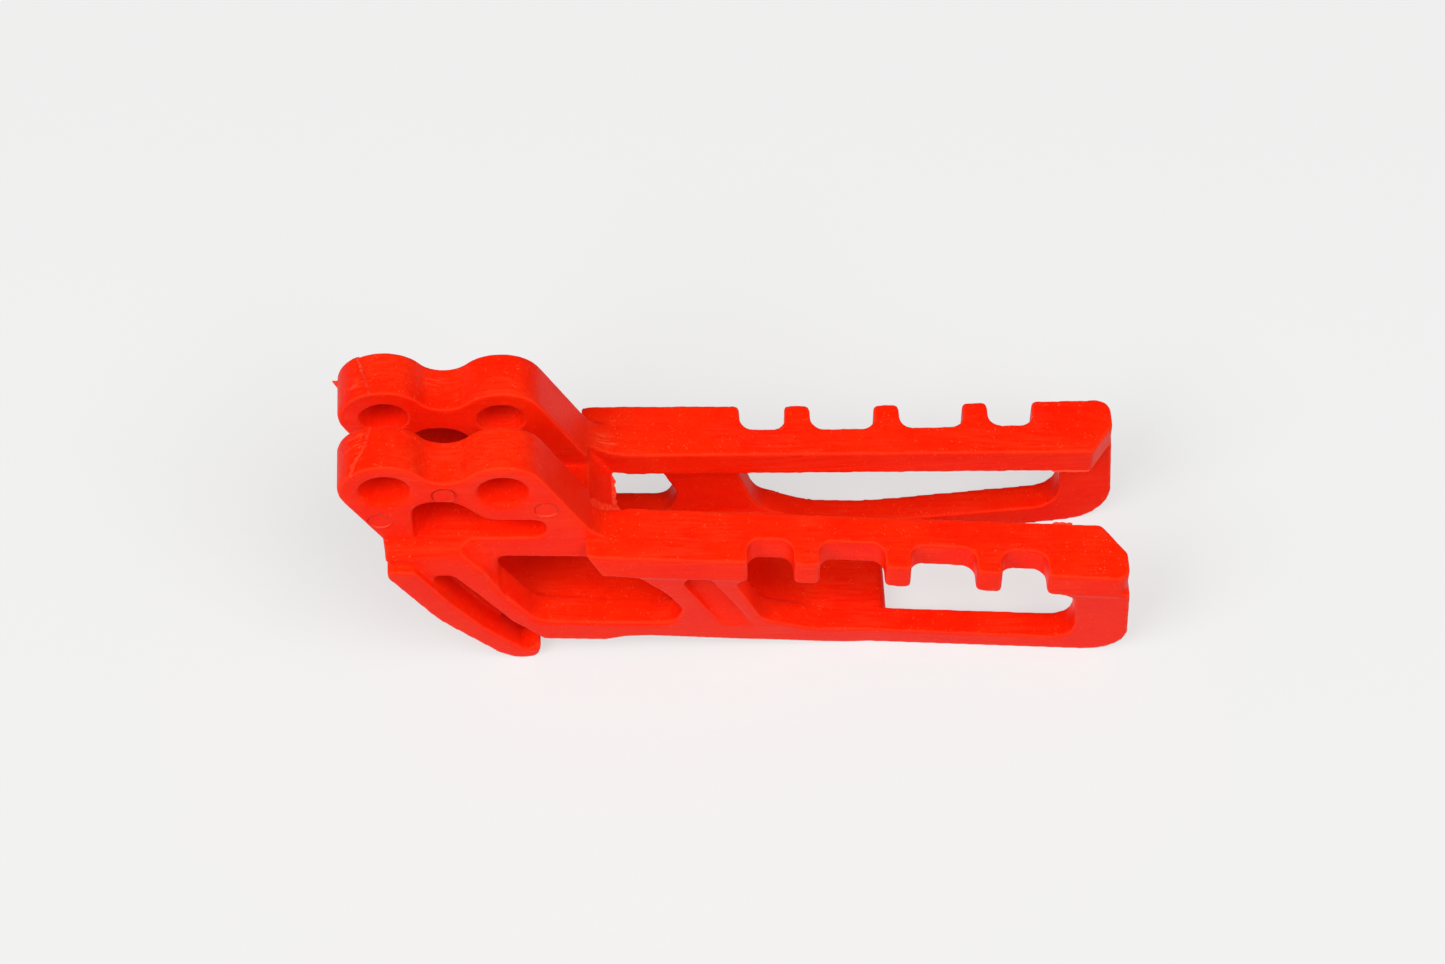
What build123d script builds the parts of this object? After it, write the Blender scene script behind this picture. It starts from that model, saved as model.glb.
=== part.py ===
from build123d import *
import math
import os

# Chain guide of a motorcycle, moulded in one piece, in millimetres.
# X runs from the bolt bracket to the tail, Y across, Z up. The origin is the axis
# of the front bolt bore on the mid-plane, and both sides are mirror images.

# Bolt bracket: two ears with two bores through both
bore_height = 64.5
bore_d = 10.0
bore_mouth_r = 1.2
bore_pitch = 24.0
bore_drop = 2.0
boss_r = 9.2
boss_valley_r = 6.0
bracket_gap = 7.8
ear_t = 10.4
bracket_toe_x = -1.5
bracket_heel_x = 42.9
bracket_heel_r = 7.5

# Deck: the plate under the ears that joins both sides, with a ramp down at its rear
deck_drop = 17.9
deck_fall = 0.052
deck_ramp_x = 41.6
deck_rear_x = 46.5

# Window through the ears, between the bosses and the deck
ear_window_front_x = 5.0
ear_window_rear_x = 32.4
ear_window_top = 4.7
ear_window_top_rear_x = 14.2
ear_window_front_r = 4.4
ear_window_waist_x = 20.2
ear_window_bend_r = 6.0
ear_window_tail_h = 6.5
ear_window_tail_r = 2.9

# Top rails
rail_drop = 16.4
rail_fall = 0.0975
rail_t = 7.6
rail_front_x = 38.2
rail_front_sweep = 2.5
rail_rear_x = 154.4
rail_gap_front = 13.0
rail_gap_rear = 18.4
rail_gap_front_x = 50.0
rail_gap_bend_r = 3.0
pocket_front_x = 41.4
pocket_w = 15.2
pocket_step = 0.4
pocket_r = 0.8
rail_tail_cut = 5.0
rail_tail_cut_w = 7.0
rail_tail_r = 3.0
rail_edge_lip = 0.3

# Notches in the outer edge of each rail, and the teeth left between them
notch_front_x = 74.0
end_notch_l = 9.6
middle_notch_l = 13.7
tooth_w = 5.5
notch_depth = 6.0
notch_r = 2.8
tooth_r = 1.1

# Half widths of the body: at the rails and at the feet, at four places along it
nose_x, nose_half_w, nose_foot_half_w = 20.0, 17.8, 16.4
waist_x, waist_half_w, waist_foot_half_w = 43.6, 19.1, 16.6
middle_x, middle_half_w, middle_foot_half_w = 100.8, 20.5, 17.0
tail_x, tail_half_w, tail_foot_half_w = 156.0, 23.1, 21.5
foot_datum_h = 6.3

# Walls of the chain tunnel
nose_wall_t = 7.2
wall_t = 5.9
tail_wall_t = 6.5

# Outline of the walls from the side: heights marked _h stand above the ground
body_front_x = -1.2
ledge_rear_x = 14.0
ledge_edge_r = 2.6
skirt_head_h = 42.0
skirt_knee_x, skirt_knee_h = 6.5, 33.0
skirt_foot_x, skirt_foot_h = 17.0, 12.5
keel_front_x, keel_front_h = 30.4, 7.3
keel_rear_x, keel_rear_h = 43.7, 5.9
arch_front_x, arch_rear_x, arch_h = 48.2, 52.7, 7.1
foot_front_x = 96.0
tail_step = 0.3
tail_lean = 1.9
tail_corner_r = 9.0
sweep_r = 8.0

# Floor of the tunnel: the bridge between both sides
bridge_front_x, bridge_front_h = 19.0, 15.5
bridge_middle_x, bridge_middle_h = 58.4, 12.9
bridge_crest_x, bridge_crest_h = 78.5, 11.6
bridge_knee_x, bridge_knee_h = 88.5, 7.9
bridge_rear_x, bridge_rear_h = 104.6, 6.4
bridge_edge_r = 2.3
bridge_bend_r = 12.0

# Front window, behind the bracket's skirt
window_front_x = 21.8
window_front_r = 2.2
window_ramp_h = 29.1
window_sill_x, window_sill_h = 29.6, 15.3
window_sill_r = 6.0
window_roof_x = 50.6
window_shoulder_x, window_shoulder_h = 57.0, 27.0
window_rear_x, window_rear_h = 60.4, 19.4
window_rear_r = 3.5
skirt_ridge_x, skirt_ridge_h = 19.4, 36.5
skirt_relief_x, skirt_relief_h = 21.2, 31.0
ridge_head_leg, ridge_foot_leg = 2.4, 0.6

# Rear window, under the notched rails
slot_front_x, slot_front_h = 71.4, 31.4
slot_ramp_x, slot_ramp_h = 77.4, 13.4
slot_rear_x, slot_rear_h = 144.2, 12.0
slot_rear_drop = 2.2
slot_front_r = 2.5
slot_ramp_r = 6.0
slot_rear_r = 5.0

# Leaning groove between the two windows
groove_x = 62.6
groove_top_h, groove_foot_h = 34.2, 9.0
groove_w = 6.6
groove_end_r = 2.8
groove_lean = 0.42
groove_depth = 4.0

# Bumper leaf under the nose, and the blind slot that parts it from the skirt
leaf_half_w = 19.9
leaf_foot_half_w = 16.3
leaf_set_back = 0.2
leaf_head_h = 42.0
leaf_head_r = 0.8
leaf_heel_h = 39.2
leaf_heel_r = 2.0
leaf_belly_x, leaf_belly_h = 8.4, 19.2
leaf_toe_x, leaf_toe_h = 20.8, 2.2
leaf_foot_x = 24.0
leaf_tip_x, leaf_tip_h = 29.9, 6.4
leaf_tip_r = 2.4
leaf_tip_edge_r = 0.6
leaf_back_x, leaf_back_h = 26.4, 3.4
leaf_back_r = 1.2
leaf_bend_x, leaf_bend_h = 18.2, 14.2
leaf_neck_x, leaf_neck_h = 12.0, 25.4
leaf_shoulder_x, leaf_shoulder_h = 5.6, 39.4
leaf_shoulder_r = 2.0
leaf_shoulder_drop = 0.7
leaf_bend_r = 20.0
leaf_slot_floor = 11.4
leaf_slot_front_x, leaf_slot_top_h = 7.6, 36.2
leaf_slot_top_l = 4.6
leaf_slot_neck_x, leaf_slot_neck_h = 17.6, 27.0
leaf_slot_bend_x, leaf_slot_bend_h = 23.6, 16.0
leaf_slot_r = 1.6

# Cutting allowance, overlap of joined solids, and small corner rounding
over = 60.0
joint = 1.0
edge_r = 1.0

ear_half_w = bracket_gap / 2 + ear_t
floor_z = -bore_height
rear_bore = (bore_pitch, -bore_drop)


def deck_top(x):
    """Level of the deck's upper side."""
    return -deck_drop - deck_fall * x


def rail_top(x):
    """Level of the rails' upper side."""
    return -rail_drop - rail_fall * x


def roof(x):
    """Level of the rails' lower side, which is the roof of the tunnel."""
    return rail_top(x) - rail_t


def up(height):
    """Level of a point that stands this high above the ground."""
    return floor_z + height


def half_width(x):
    """Half width of the body at the rails."""
    stations = [(nose_x, nose_half_w), (waist_x, waist_half_w)]
    stations += [(middle_x, middle_half_w), (tail_x, tail_half_w)]
    if x <= nose_x:
        return nose_half_w
    for (x0, w0), (x1, w1) in zip(stations, stations[1:]):
        if x <= x1:
            return w0 + (w1 - w0) * (x - x0) / (x1 - x0)
    return tail_half_w


def rounded(corners):
    """Closed face from (x, y, corner radius) corners."""
    points = [(x, y) for x, y, r in corners]
    return make_face(FilletPolyline(*points, radius=[r for x, y, r in corners], close=True))


def across(face, half_w=over):
    """Side outline, x and z, run out to both sides."""
    return extrude(Plane.XZ * face, half_w, both=True)


def outside(face, inner_half_w):
    """Side outline, on both sides, further out than a half width."""
    return across(face) - Box(4 * over, 2 * inner_half_w, 4 * over, align=(Align.CENTER,) * 3)


def tangent_point(point, centre, radius, turn):
    """Where the line from a point touches a circle."""
    dx, dy = point[0] - centre[0], point[1] - centre[1]
    angle = math.atan2(dy, dx) + turn * math.acos(radius / math.hypot(dx, dy))
    return (centre[0] + radius * math.cos(angle), centre[1] + radius * math.sin(angle))


def arc_about(centre, radius, start, end, via):
    """Arc from start to end that passes the side of its centre where via lies."""
    length = math.hypot(via[0] - centre[0], via[1] - centre[1])
    middle = [centre[i] + (via[i] - centre[i]) * radius / length for i in range(2)]
    return ThreePointArc(start, tuple(middle), end)


def wall_section(x, top_half_w, foot_half_w, inset):
    """Cross-section of the body: it narrows from the rails to the feet."""
    top_z = roof(x) + joint
    datum_z = up(foot_datum_h)
    flare = (top_half_w - foot_half_w) / (roof(x) - datum_z)
    head = top_half_w - rail_edge_lip - inset
    high, low = -deck_drop + joint, floor_z - joint
    wide = head + flare * joint
    foot = head - flare * (roof(x) - low)
    points = [(-foot, low), (foot, low), (wide, top_z), (wide, high), (-wide, high), (-wide, top_z)]
    return Plane.YZ.offset(x) * make_face(Polyline(*points, close=True))


def envelope(nose_inset, inset, tail_inset):
    """Body width along its length, less an inset on each side."""
    stations = [
        (-over, nose_half_w, nose_foot_half_w, nose_inset),
        (nose_x, nose_half_w, nose_foot_half_w, nose_inset),
        (waist_x, waist_half_w, waist_foot_half_w, inset),
        (middle_x, middle_half_w, middle_foot_half_w, inset),
        (tail_x, tail_half_w, tail_foot_half_w, tail_inset),
    ]
    solids = []
    for before, after in zip(stations, stations[1:]):
        solids.append(loft([wall_section(*before), wall_section(*after)], ruled=True))
    return solids[0].fuse(*solids[1:])


def wall_outline():
    """Side of the body, with the skirt and the leaf's place at the nose."""
    return rounded([
        (body_front_x, deck_top(0), edge_r),
        (ledge_rear_x, deck_top(ledge_rear_x), 0),
        (rail_front_x, roof(rail_front_x) + joint, 0),
        (rail_rear_x + tail_step, roof(rail_rear_x) + joint, 0),
        (rail_rear_x + tail_lean, floor_z, tail_corner_r),
        (foot_front_x, floor_z, sweep_r),
        (arch_rear_x, up(arch_h), sweep_r),
        (arch_front_x, up(arch_h), sweep_r / 2),
        (keel_rear_x, up(keel_rear_h), sweep_r / 2),
        (keel_front_x, up(keel_front_h), edge_r),
        (skirt_foot_x, up(skirt_foot_h), sweep_r),
        (skirt_knee_x, up(skirt_knee_h), 0),
        (body_front_x + edge_r, up(skirt_head_h), 0),
        (body_front_x, up(skirt_head_h + edge_r), 0),
    ])


def leaf_outline():
    """Bumper leaf from the side: its belly curves down to the tip."""
    return rounded([
        (body_front_x + leaf_set_back, up(leaf_head_h), leaf_head_r),
        (body_front_x + leaf_set_back, up(leaf_heel_h), leaf_heel_r),
        (leaf_belly_x, up(leaf_belly_h), 2 * leaf_bend_r),
        (leaf_toe_x, up(leaf_toe_h), sweep_r),
        (leaf_foot_x, floor_z, 2 * edge_r),
        (leaf_tip_x - edge_r, floor_z, leaf_tip_r),
        (leaf_tip_x, up(leaf_tip_h), leaf_tip_edge_r),
        (leaf_back_x, up(leaf_back_h), leaf_back_r),
        (leaf_bend_x, up(leaf_bend_h), leaf_bend_r),
        (leaf_neck_x, up(leaf_neck_h), leaf_bend_r),
        (leaf_shoulder_x, up(leaf_shoulder_h), leaf_shoulder_r),
        (leaf_shoulder_x - edge_r, up(leaf_head_h - leaf_shoulder_drop), edge_r),
    ])


def leaf_slot_outline():
    """Space between the leaf's back and the skirt, open at the leaf's tip."""
    return rounded([
        (leaf_slot_front_x, up(leaf_slot_top_h), leaf_slot_r),
        (leaf_slot_front_x + leaf_slot_top_l, up(leaf_slot_top_h), 1.5 * leaf_slot_r),
        (leaf_slot_neck_x, up(leaf_slot_neck_h), leaf_bend_r),
        (leaf_slot_bend_x, up(leaf_slot_bend_h), leaf_bend_r),
        (keel_front_x, up(keel_front_h), 0),
        (keel_front_x + 4 * joint, up(keel_front_h - 6 * joint), 0),
        (leaf_tip_x, up(leaf_tip_h), 0),
        (leaf_back_x, up(leaf_back_h), leaf_back_r),
        (leaf_bend_x, up(leaf_bend_h), leaf_bend_r),
        (leaf_neck_x, up(leaf_neck_h), leaf_bend_r),
    ])


def window_outline():
    """Front window, up to the roof of the tunnel."""
    return rounded([
        (window_front_x, roof(window_front_x), window_front_r),
        (window_roof_x, roof(window_roof_x), window_sill_r),
        (window_shoulder_x, up(window_shoulder_h), bridge_bend_r),
        (window_rear_x, up(window_rear_h), window_rear_r),
        (bridge_middle_x, up(bridge_middle_h), window_rear_r),
        (window_sill_x, up(window_sill_h), window_sill_r),
        (window_front_x, up(window_ramp_h), window_sill_r),
    ])


def skirt_relief_outline():
    """Outside the ears the front window is open up to the sky."""
    mouth_x = rail_front_x + 2 * joint
    return rounded([
        (ledge_rear_x, over, 0),
        (ledge_rear_x, deck_top(ledge_rear_x), ledge_edge_r),
        (skirt_ridge_x, up(skirt_ridge_h), sweep_r),
        (skirt_relief_x, up(skirt_relief_h), 0),
        (window_front_x + 2 * joint, up(skirt_relief_h), 0),
        (mouth_x, roof(mouth_x) - joint, 0),
        (waist_x, roof(waist_x), 0),
        (mouth_x, rail_top(mouth_x), 0),
        (mouth_x, over, 0),
    ])


def ridge_section(x, z, leg):
    """Level section of the slanted wall between the ears' face and the skirt's ridge."""
    corners = [
        (x - joint, ear_half_w - joint),
        (x + leg, ear_half_w - joint),
        (x + leg, ear_half_w),
        (x, ear_half_w + leg),
        (x - joint, ear_half_w + leg),
    ]
    return Plane.XY.offset(z) * make_face(Polyline(*corners, close=True))


def ridge_slant():
    """The slanted wall, which thins out towards the front window."""
    sections = [
        ridge_section(ledge_rear_x, deck_top(ledge_rear_x), ridge_head_leg),
        ridge_section(skirt_ridge_x, up(skirt_ridge_h), (ridge_head_leg + ridge_foot_leg) / 2),
        ridge_section(skirt_relief_x, up(skirt_relief_h), ridge_foot_leg),
    ]
    slant = loft(sections[:2], ruled=True) + loft(sections[1:], ruled=True)
    return slant + mirror(slant, Plane.XZ)


def slot_outline():
    """Rear window, up through the joint with the rails."""
    head_x = slot_rear_x - 2 * slot_rear_drop
    return rounded([
        (notch_front_x, roof(notch_front_x) + 3 * joint, 0),
        (notch_front_x, roof(notch_front_x), edge_r),
        (slot_front_x, up(slot_front_h), slot_front_r),
        (slot_ramp_x, up(slot_ramp_h), slot_ramp_r),
        (bridge_knee_x, up(bridge_knee_h), bridge_bend_r),
        (bridge_rear_x, up(bridge_rear_h), bridge_bend_r),
        (slot_rear_x - edge_r, up(bridge_rear_h - edge_r), slot_rear_r),
        (slot_rear_x, up(slot_rear_h), 2 * edge_r),
        (slot_rear_x - edge_r, roof(slot_rear_x) - slot_rear_drop, 2 * edge_r),
        (head_x, roof(head_x), 0),
        (head_x, roof(head_x) + 3 * joint, 0),
    ])


def tunnel_outline():
    """Side of the way for the chain, open below ahead of the bridge and behind it."""
    return rounded([
        (-over, roof(-over), 0),
        (3 * over, roof(3 * over), 0),
        (3 * over, -2 * over, 0),
        (bridge_rear_x, -2 * over, 0),
        (bridge_rear_x, up(bridge_rear_h), bridge_edge_r),
        (bridge_knee_x, up(bridge_knee_h), bridge_bend_r),
        (bridge_crest_x, up(bridge_crest_h), bridge_bend_r),
        (bridge_middle_x, up(bridge_middle_h), bridge_bend_r),
        (bridge_front_x, up(bridge_front_h), bridge_edge_r),
        (bridge_front_x, -2 * over, 0),
        (-over, -2 * over, 0),
    ])


def groove_outline():
    """Leaning groove between the two windows, from the side."""
    lean = groove_lean * (groove_top_h - groove_foot_h)
    front_x, rear_x = groove_x - groove_w / 2, groove_x + groove_w / 2
    return rounded([
        (front_x, up(groove_top_h), groove_end_r),
        (rear_x, up(groove_top_h), groove_end_r),
        (rear_x + lean, up(groove_foot_h), 0),
        (front_x + lean, up(groove_foot_h), 0),
    ])


def groove():
    """Blind groove that runs out above the lower edge."""
    top_w, foot_w = half_width(groove_x) - groove_depth, waist_foot_half_w + joint / 2
    top_z, foot_z = up(groove_top_h), up(groove_foot_h)
    floors = Polyline((-top_w, top_z), (top_w, top_z), (foot_w, foot_z), (-foot_w, foot_z), close=True)
    return across(groove_outline()) - extrude(Plane.YZ * make_face(floors), 2 * over, both=True)


def bracket_outline():
    """Ears from the side: two bosses, the valley between them and the heel's slope."""
    toe = (bracket_toe_x, deck_top(bracket_toe_x))
    heel = (bracket_heel_x, rail_top(bracket_heel_x))
    end_x = bracket_heel_x + bracket_heel_r
    end = (end_x, rail_top(end_x))
    front = tangent_point(toe, (0, 0), boss_r, -1)
    back = tangent_point(heel, rear_bore, boss_r, 1)
    span = math.hypot(*rear_bore)
    rise = math.sqrt((boss_r + boss_valley_r) ** 2 - (span / 2) ** 2)
    valley = (bore_pitch / 2 + rise * bore_drop / span, -bore_drop / 2 + rise * bore_pitch / span)
    share = boss_r / (boss_r + boss_valley_r)
    meet_front = (valley[0] * share, valley[1] * share)
    meet_back = tuple(rear_bore[i] + (valley[i] - rear_bore[i]) * share for i in range(2))
    below = 3 * joint
    edges = [
        Line((toe[0], roof(toe[0]) - below), toe),
        Line(toe, front),
        arc_about((0, 0), boss_r, front, meet_front, (-boss_r, boss_r)),
        arc_about(valley, boss_valley_r, meet_front, meet_back, (bore_pitch / 2, -bore_drop / 2)),
        arc_about(rear_bore, boss_r, meet_back, back, (bore_pitch + joint, boss_r)),
        FilletPolyline(back, heel, end, radius=bracket_heel_r),
        Polyline(end, (end[0], roof(end[0]) - below), (toe[0], roof(toe[0]) - below)),
    ]
    return make_face(Curve() + edges)


def ear_window_outline():
    """Window over the deck: high under the valley of the ears, low behind it."""
    tail_z = deck_top(ear_window_rear_x) + ear_window_tail_h
    return rounded([
        (ear_window_front_x, -ear_window_top, ear_window_front_r),
        (ear_window_top_rear_x, -ear_window_top, ear_window_bend_r),
        (ear_window_waist_x, tail_z + joint, ear_window_bend_r),
        (ear_window_rear_x, tail_z, ear_window_tail_r),
        (ear_window_rear_x, deck_top(ear_window_rear_x), ear_window_tail_r),
        (ear_window_front_x, deck_top(ear_window_front_x), edge_r),
    ])


def rail_plan():
    """Both rails from above, with their notched outer edges, before the gap is cut."""
    inner_x = rail_front_x - 4 * joint
    edge = [
        (inner_x, ear_half_w - joint, 0),
        (rail_front_x, ear_half_w - joint, 0),
        (rail_front_x + rail_front_sweep, half_width(rail_front_x), edge_r),
        (waist_x, half_width(waist_x), 0),
    ]
    x = notch_front_x
    for length in [end_notch_l, middle_notch_l, middle_notch_l, end_notch_l]:
        for corner_x, dip, radius in [
            (x, 0, tooth_r),
            (x, notch_depth, notch_r),
            (x + length, notch_depth, notch_r),
            (x + length, 0, tooth_r),
        ]:
            edge.append((corner_x, half_width(corner_x) - dip, radius))
        x += length + tooth_w
    edge.append((rail_rear_x, half_width(rail_rear_x), rail_tail_r))
    mirrored = [(x, -y, r) for x, y, r in reversed(edge)]
    return rounded(edge + mirrored)


def rail_slab_outline():
    """Side of the rails: they fall towards the tail."""
    front_x, rear_x = rail_front_x - 4 * joint, rail_rear_x + joint
    corners = [(front_x, rail_top(front_x)), (rear_x, rail_top(rear_x))]
    corners += [(rear_x, roof(rear_x)), (front_x, roof(front_x))]
    return make_face(Polyline(*corners, close=True))


def gap_plan():
    """The open space between the ears and between the rails, from above."""
    ear_gap = bracket_gap / 2
    front, rear = rail_gap_front / 2, rail_gap_rear / 2
    cut_x, mouth_x = rail_rear_x - rail_tail_cut, rail_rear_x + joint
    mouth = rear + rail_tail_cut_w * (1 + joint / rail_tail_cut)
    edge = [
        (-over, ear_gap, 0),
        (pocket_front_x, ear_gap, pocket_r),
        (pocket_front_x + pocket_step, pocket_w / 2, pocket_r),
        (rail_gap_front_x, front, rail_gap_bend_r),
        (cut_x, rear, edge_r),
        (mouth_x, mouth, 0),
        (3 * over, mouth, 0),
    ]
    return rounded(edge + [(x, -y, r) for x, y, r in reversed(edge)])


def gap():
    """The gap goes down to the deck and its ramp, and behind them to the tunnel's roof."""
    side = Polyline(
        (-over, over),
        (-over, deck_top(-over)),
        (deck_ramp_x, deck_top(deck_ramp_x)),
        (deck_rear_x, roof(deck_rear_x)),
        (3 * over, roof(3 * over)),
        (3 * over, over),
        close=True,
    )
    tall = extrude(Plane.XY.offset(-2 * over) * gap_plan(), 4 * over)
    return tall & across(make_face(side))


def leaf():
    """Bumper leaf, a little proud of the skirt and narrowing to its tip."""
    top_z, foot_z = deck_top(0), floor_z
    section = Polyline(
        (-leaf_half_w, top_z),
        (leaf_half_w, top_z),
        (leaf_foot_half_w, foot_z),
        (-leaf_foot_half_w, foot_z),
        close=True,
    )
    wedge = extrude(Plane.YZ * make_face(section), over, both=True)
    return across(leaf_outline()) & wedge


def bore(centre):
    """Bolt bore through both ears, with rounded mouths."""
    radius, mouth = bore_d / 2, bore_d / 2 + bore_mouth_r
    throat = ear_half_w - bore_mouth_r
    bow = bore_mouth_r * math.sqrt(0.5)
    foot = (mouth, -ear_half_w)
    edges = [
        Line((radius, -throat), (radius, throat)),
        ThreePointArc((radius, throat), (mouth - bow, throat + bow), (mouth, ear_half_w)),
        Polyline((mouth, ear_half_w), (mouth, over), (0, over), (0, -over), (mouth, -over), foot),
        ThreePointArc(foot, (mouth - bow, -throat - bow), (radius, -throat)),
    ]
    cutter = revolve(Plane.XZ * make_face(Curve() + edges), Axis.Z)
    return Pos(centre[0], 0, centre[1]) * Rot(90, 0, 0) * cutter


def ledge_rounding():
    """What the rounded outer edge of the ledge beside the ears leaves out."""
    front_x, radius = body_front_x - joint, ledge_edge_r
    side, top = nose_half_w - rail_edge_lip + joint / 20, deck_top(front_x)
    bow = radius * (1 - math.sqrt(0.5))
    edges = [
        ThreePointArc((side, top - radius), (side - bow, top - bow), (side - radius, top)),
        Polyline(
            (side - radius, top),
            (side - radius, top + joint),
            (side + joint, top + joint),
            (side + joint, top - radius),
            (side, top - radius),
        ),
    ]
    corner = Plane.YZ.offset(front_x) * make_face(Curve() + edges)
    cut = extrude(corner, skirt_ridge_x - front_x, dir=(1, 0, -deck_fall))
    return cut + mirror(cut, Plane.XZ)


def guide_body():
    """The whole moulding."""
    body = across(wall_outline()) & envelope(0, 0, 0)
    body += across(bracket_outline(), ear_half_w)
    body -= outside(skirt_relief_outline(), ear_half_w)
    body += ridge_slant()
    body -= ledge_rounding()
    body += leaf()
    body -= across(tunnel_outline()) & envelope(nose_wall_t, wall_t, tail_wall_t)
    body -= across(window_outline())
    body -= across(slot_outline())
    body -= outside(leaf_slot_outline(), leaf_slot_floor)
    body -= groove()
    rails = extrude(Plane.XY.offset(-over) * rail_plan(), 2 * over) & across(rail_slab_outline())
    body += rails - outside(skirt_relief_outline(), ear_half_w)
    body -= gap()
    body -= across(ear_window_outline())
    body -= bore((0, 0))
    return body - bore(rear_bore)


os.makedirs("parts", exist_ok=True)
export_step(guide_body(), "parts/guide_body.step")
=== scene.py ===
"""Dresses the moulded chain guide: its soft-edged skin, flash, plastic, studio and camera."""

import logging
import math
from dataclasses import dataclass, field
from enum import Enum

import bmesh
import bpy
import numpy as np
from mathutils import Euler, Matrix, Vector
from mathutils.kdtree import KDTree


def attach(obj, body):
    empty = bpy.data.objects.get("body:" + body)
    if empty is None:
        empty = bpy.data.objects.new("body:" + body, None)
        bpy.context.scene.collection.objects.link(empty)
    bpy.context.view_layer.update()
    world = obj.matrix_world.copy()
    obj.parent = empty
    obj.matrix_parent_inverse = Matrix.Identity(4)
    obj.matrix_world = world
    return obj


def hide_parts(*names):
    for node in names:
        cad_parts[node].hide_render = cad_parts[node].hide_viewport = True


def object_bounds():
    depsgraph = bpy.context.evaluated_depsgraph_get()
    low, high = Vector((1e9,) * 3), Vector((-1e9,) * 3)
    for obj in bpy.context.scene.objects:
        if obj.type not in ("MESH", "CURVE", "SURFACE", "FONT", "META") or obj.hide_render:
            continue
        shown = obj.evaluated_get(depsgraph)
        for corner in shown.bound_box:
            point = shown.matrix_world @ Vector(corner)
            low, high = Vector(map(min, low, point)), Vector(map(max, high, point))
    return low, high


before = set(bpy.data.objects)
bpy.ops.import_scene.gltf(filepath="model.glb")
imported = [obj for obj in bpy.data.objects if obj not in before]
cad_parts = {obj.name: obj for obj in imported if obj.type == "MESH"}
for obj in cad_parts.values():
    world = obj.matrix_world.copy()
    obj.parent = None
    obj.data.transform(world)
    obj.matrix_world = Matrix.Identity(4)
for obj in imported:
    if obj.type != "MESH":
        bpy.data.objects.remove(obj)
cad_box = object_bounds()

log = logging.getLogger("chain_guide")

Triple = tuple[float, float, float]
Colour = tuple[float, float, float, float]

MM = 0.001
BODY = "root"
GUIDE_NODE = "guide_body"
RIM_LAYER = "rim"
BOSS_RADIUS = 9.2 * MM
EAR_INNER = 3.9 * MM
EAR_OUTER = 14.3 * MM
IMAGE_WIDTH = 1445


class Side(Enum):
    """The two mirrored sides of the guide, by the sign of y."""

    NEAR = -1
    FAR = 1


@dataclass(frozen=True)
class Ramp:
    """A clamped straight ramp, which runs from start at low to end at high."""

    low: float
    high: float
    start: float = 0.0
    end: float = 1.0


@dataclass(frozen=True)
class Noise:
    """Cloudy noise: its features in one unit of length, and how fine and rough they are."""

    scale: float
    detail: float
    roughness: float = 0.5


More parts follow.
